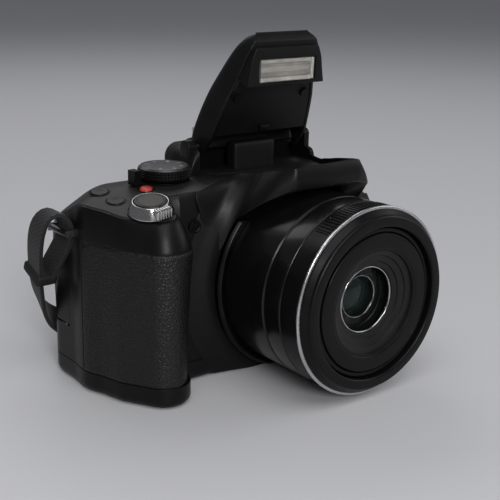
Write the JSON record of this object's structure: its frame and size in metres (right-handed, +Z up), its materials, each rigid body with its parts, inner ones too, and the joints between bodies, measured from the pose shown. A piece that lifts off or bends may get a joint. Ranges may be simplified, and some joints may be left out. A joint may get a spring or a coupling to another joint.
{
  "type": "bridge camera",
  "caption": "Bridge camera with a long fixed zoom lens of two sliding tubes, a deep rubber grip, a pop-up flash, an eye-level finder and a neck strap.",
  "frame": {"origin": "middle of the camera's box, without the strap, at the base", "axes": "+Z up, the lens looks along -Y, +X away from the grip"},
  "size_m": [0.1534, 0.1819, 0.1285],
  "materials": {
    "body_plastic": "fine matte grain",
    "grip_rubber": "leather grain",
    "soft_rubber": "smooth soft rubber",
    "barrel_gloss": "gloss black",
    "satin_black": "satin black",
    "silver_trim": "bright satin",
    "chrome_trim": "polished",
    "dark_metal": "satin",
    "steel": "plain steel",
    "lens_glass": "coated glass",
    "screen_glass": "gloss dark glass",
    "window_plastic": "frosted clear",
    "reflector": "bright reflector",
    "tube_glass": "clear glass",
    "red_plastic": "red dot in a dark ring",
    "amber_lens": "dark amber",
    "button_grey": "satin dark grey",
    "shutter_metal": "satin",
    "board": "circuit board",
    "cell_label": "plain cell case",
    "webbing": "woven webbing"
  },
  "bodies": {
    "camera_body": {"bottom_cover": "body_plastic", "front_cover": "body_plastic", "rear_cover": "body_plastic", "top_cover": "body_plastic", "control_deck": "body_plastic", "grip_rubber": "grip_rubber", "battery": "cell_label", "main_board": "board", "lens_base_ring": "dark_metal", "lens_barrel": "barrel_gloss", "ribbed_ring": "barrel_gloss", "silver_ring": "silver_trim", "front_bezel": "barrel_gloss", "fixed_sleeve": "satin_black", "rear_element": "lens_glass", "sensor_unit": "board", "lcd_panel": "dark_metal", "lcd_window": "screen_glass", "evf_display": "dark_metal", "evf_lens": "lens_glass", "eyecup": "soft_rubber", "hot_shoe": "steel", "hinge_pins": "steel", "af_lamp": "amber_lens", "strap_lugs": "steel", "base_screws": "steel", "tripod_socket": "steel", "strap_grip_side": "webbing", "strap_roll": "webbing", "strap_lens_side": "webbing"},
    "zoom_middle": {"mid_tube": "satin_black"},
    "zoom_inner": {"inner_tube": "satin_black", "name_ring": "satin_black", "front_element": "lens_glass"},
    "flash": {"flash_cover": "body_plastic", "flash_panel": "body_plastic", "flash_window": "window_plastic", "flash_reflector": "reflector", "flash_tube": "tube_glass", "flash_screws": "steel"},
    "mode_dial": {"mode_dial": "button_grey"},
    "power_lever": {"power_lever": "button_grey"},
    "shutter_button": {"shutter_button": "shutter_metal"},
    "zoom_lever": {"zoom_lever": "chrome_trim"},
    "movie_button": {"movie_button": "red_plastic"},
    "focus_button": {"focus_button": "button_grey"},
    "drive_button": {"drive_button": "button_grey"},
    "rear_dial": {"rear_dial": "button_grey"},
    "af_lock_button": {"af_lock_button": "button_grey"},
    "play_button": {"play_button": "button_grey"},
    "cursor_pad": {"cursor_pad": "button_grey"},
    "set_button": {"set_button": "button_grey"},
    "disp_button": {"disp_button": "button_grey"},
    "quick_button": {"quick_button": "button_grey"},
    "evf_button": {"evf_button": "button_grey"},
    "flash_button": {"flash_button": "button_grey"},
    "diopter_dial": {"diopter_dial": "button_grey"},
    "terminal_door": {"terminal_door": "body_plastic"},
    "battery_door": {"battery_door": "body_plastic"},
    "battery_latch": {"battery_latch": "button_grey"}
  },
  "joints": [
    {"name": "zoom_first_stage", "type": "slide", "parent": "camera_body", "child": "zoom_middle", "axis": [0, -1, 0], "range_m": [0, 0.025]},
    {"name": "zoom_second_stage", "type": "slide", "parent": "zoom_middle", "child": "zoom_inner", "axis": [0, -1, 0], "range_m": [0, 0.025]},
    {"name": "flash_fold", "type": "hinge", "parent": "camera_body", "child": "flash", "pos_m": [0.0167, 0.018, 0.084], "axis": [1, 0, 0], "range_deg": [0, 64], "stiffness_Nm_per_rad": 0.03, "springref_deg": -40.11},
    {"name": "mode_dial_turn", "type": "hinge", "parent": "camera_body", "child": "mode_dial", "pos_m": [-0.0275, 0.0127, 0.077], "axis": [0, 0, 1], "continuous": true},
    {"name": "power_switch", "type": "hinge", "parent": "camera_body", "child": "power_lever", "pos_m": [-0.0275, 0.0127, 0.075], "axis": [0, 0, 1], "range_deg": [-30, 0]},
    {"name": "shutter_press", "type": "slide", "parent": "camera_body", "child": "shutter_button", "axis": [0.1367, 0.166, -0.9766], "range_m": [0, 0.0005], "stiffness_N_per_m": 400, "springref_m": -0.0006},
    {"name": "zoom_rock", "type": "hinge", "parent": "camera_body", "child": "zoom_lever", "pos_m": [-0.048, -0.0098, 0.06978], "axis": [-0.1367, -0.166, 0.9766], "range_deg": [-20, 20], "stiffness_Nm_per_rad": 0.02},
    {"name": "movie_press", "type": "slide", "parent": "camera_body", "child": "movie_button", "axis": [0.1367, 0.166, -0.9766], "range_m": [0, 0.0005], "stiffness_N_per_m": 400, "springref_m": -0.0006},
    {"name": "focus_press", "type": "slide", "parent": "camera_body", "child": "focus_button", "axis": [0.1367, 0.166, -0.9766], "range_m": [0, 0.0005], "stiffness_N_per_m": 400, "springref_m": -0.0006},
    {"name": "drive_press", "type": "slide", "parent": "camera_body", "child": "drive_button", "axis": [0.1367, 0.166, -0.9766], "range_m": [0, 0.0005], "stiffness_N_per_m": 400, "springref_m": -0.0006},
    {"name": "rear_dial_turn", "type": "hinge", "parent": "camera_body", "child": "rear_dial", "pos_m": [-0.0401, 0.0334, 0.063], "axis": [0, 0, 1], "continuous": true},
    {"name": "af_lock_press", "type": "slide", "parent": "camera_body", "child": "af_lock_button", "axis": [0, -1, 0], "range_m": [0, 0.0005], "stiffness_N_per_m": 400, "springref_m": -0.0006},
    {"name": "play_press", "type": "slide", "parent": "camera_body", "child": "play_button", "axis": [0, -1, 0], "range_m": [0, 0.0005], "stiffness_N_per_m": 400, "springref_m": -0.0006},
    {"name": "cursor_press", "type": "slide", "parent": "camera_body", "child": "cursor_pad", "axis": [0, -1, 0], "range_m": [0, 0.0005], "stiffness_N_per_m": 400, "springref_m": -0.0006},
    {"name": "set_press", "type": "slide", "parent": "camera_body", "child": "set_button", "axis": [0, -1, 0], "range_m": [0, 0.0005], "stiffness_N_per_m": 400, "springref_m": -0.0006},
    {"name": "disp_press", "type": "slide", "parent": "camera_body", "child": "disp_button", "axis": [0, -1, 0], "range_m": [0, 0.0005], "stiffness_N_per_m": 400, "springref_m": -0.0006},
    {"name": "quick_press", "type": "slide", "parent": "camera_body", "child": "quick_button", "axis": [0, -1, 0], "range_m": [0, 0.0005], "stiffness_N_per_m": 400, "springref_m": -0.0006},
    {"name": "evf_press", "type": "slide", "parent": "camera_body", "child": "evf_button", "axis": [0, -1, 0], "range_m": [0, 0.0005], "stiffness_N_per_m": 400, "springref_m": -0.0006},
    {"name": "flash_release_press", "type": "slide", "parent": "camera_body", "child": "flash_button", "axis": [-1, 0, 0], "range_m": [0, 0.0008], "stiffness_N_per_m": 400, "springref_m": -0.0006},
    {"name": "diopter_turn", "type": "hinge", "parent": "camera_body", "child": "diopter_dial", "pos_m": [-0.0053, 0.043, 0.0683], "axis": [0, 1, 0], "range_deg": [-120, 120]},
    {"name": "terminal_door_open", "type": "hinge", "parent": "camera_body", "child": "terminal_door", "pos_m": [-0.0651, 0.02, 0.037], "axis": [0, 0, 1], "range_deg": [0, 90], "deforming": ["strap_grip_side"]},
    {"name": "battery_door_open", "type": "hinge", "parent": "camera_body", "child": "battery_door", "pos_m": [-0.04045, 0.001, 0.0003], "axis": [0, -1, 0], "range_deg": [0, 100]},
    {"name": "battery_latch_slide", "type": "slide", "parent": "battery_door", "child": "battery_latch", "axis": [1, 0, 0], "range_m": [0, 0.003]}
  ],
  "couplings": [
    {"joint": "zoom_second_stage", "follows": "zoom_first_stage", "ratio": 1}
  ]
}
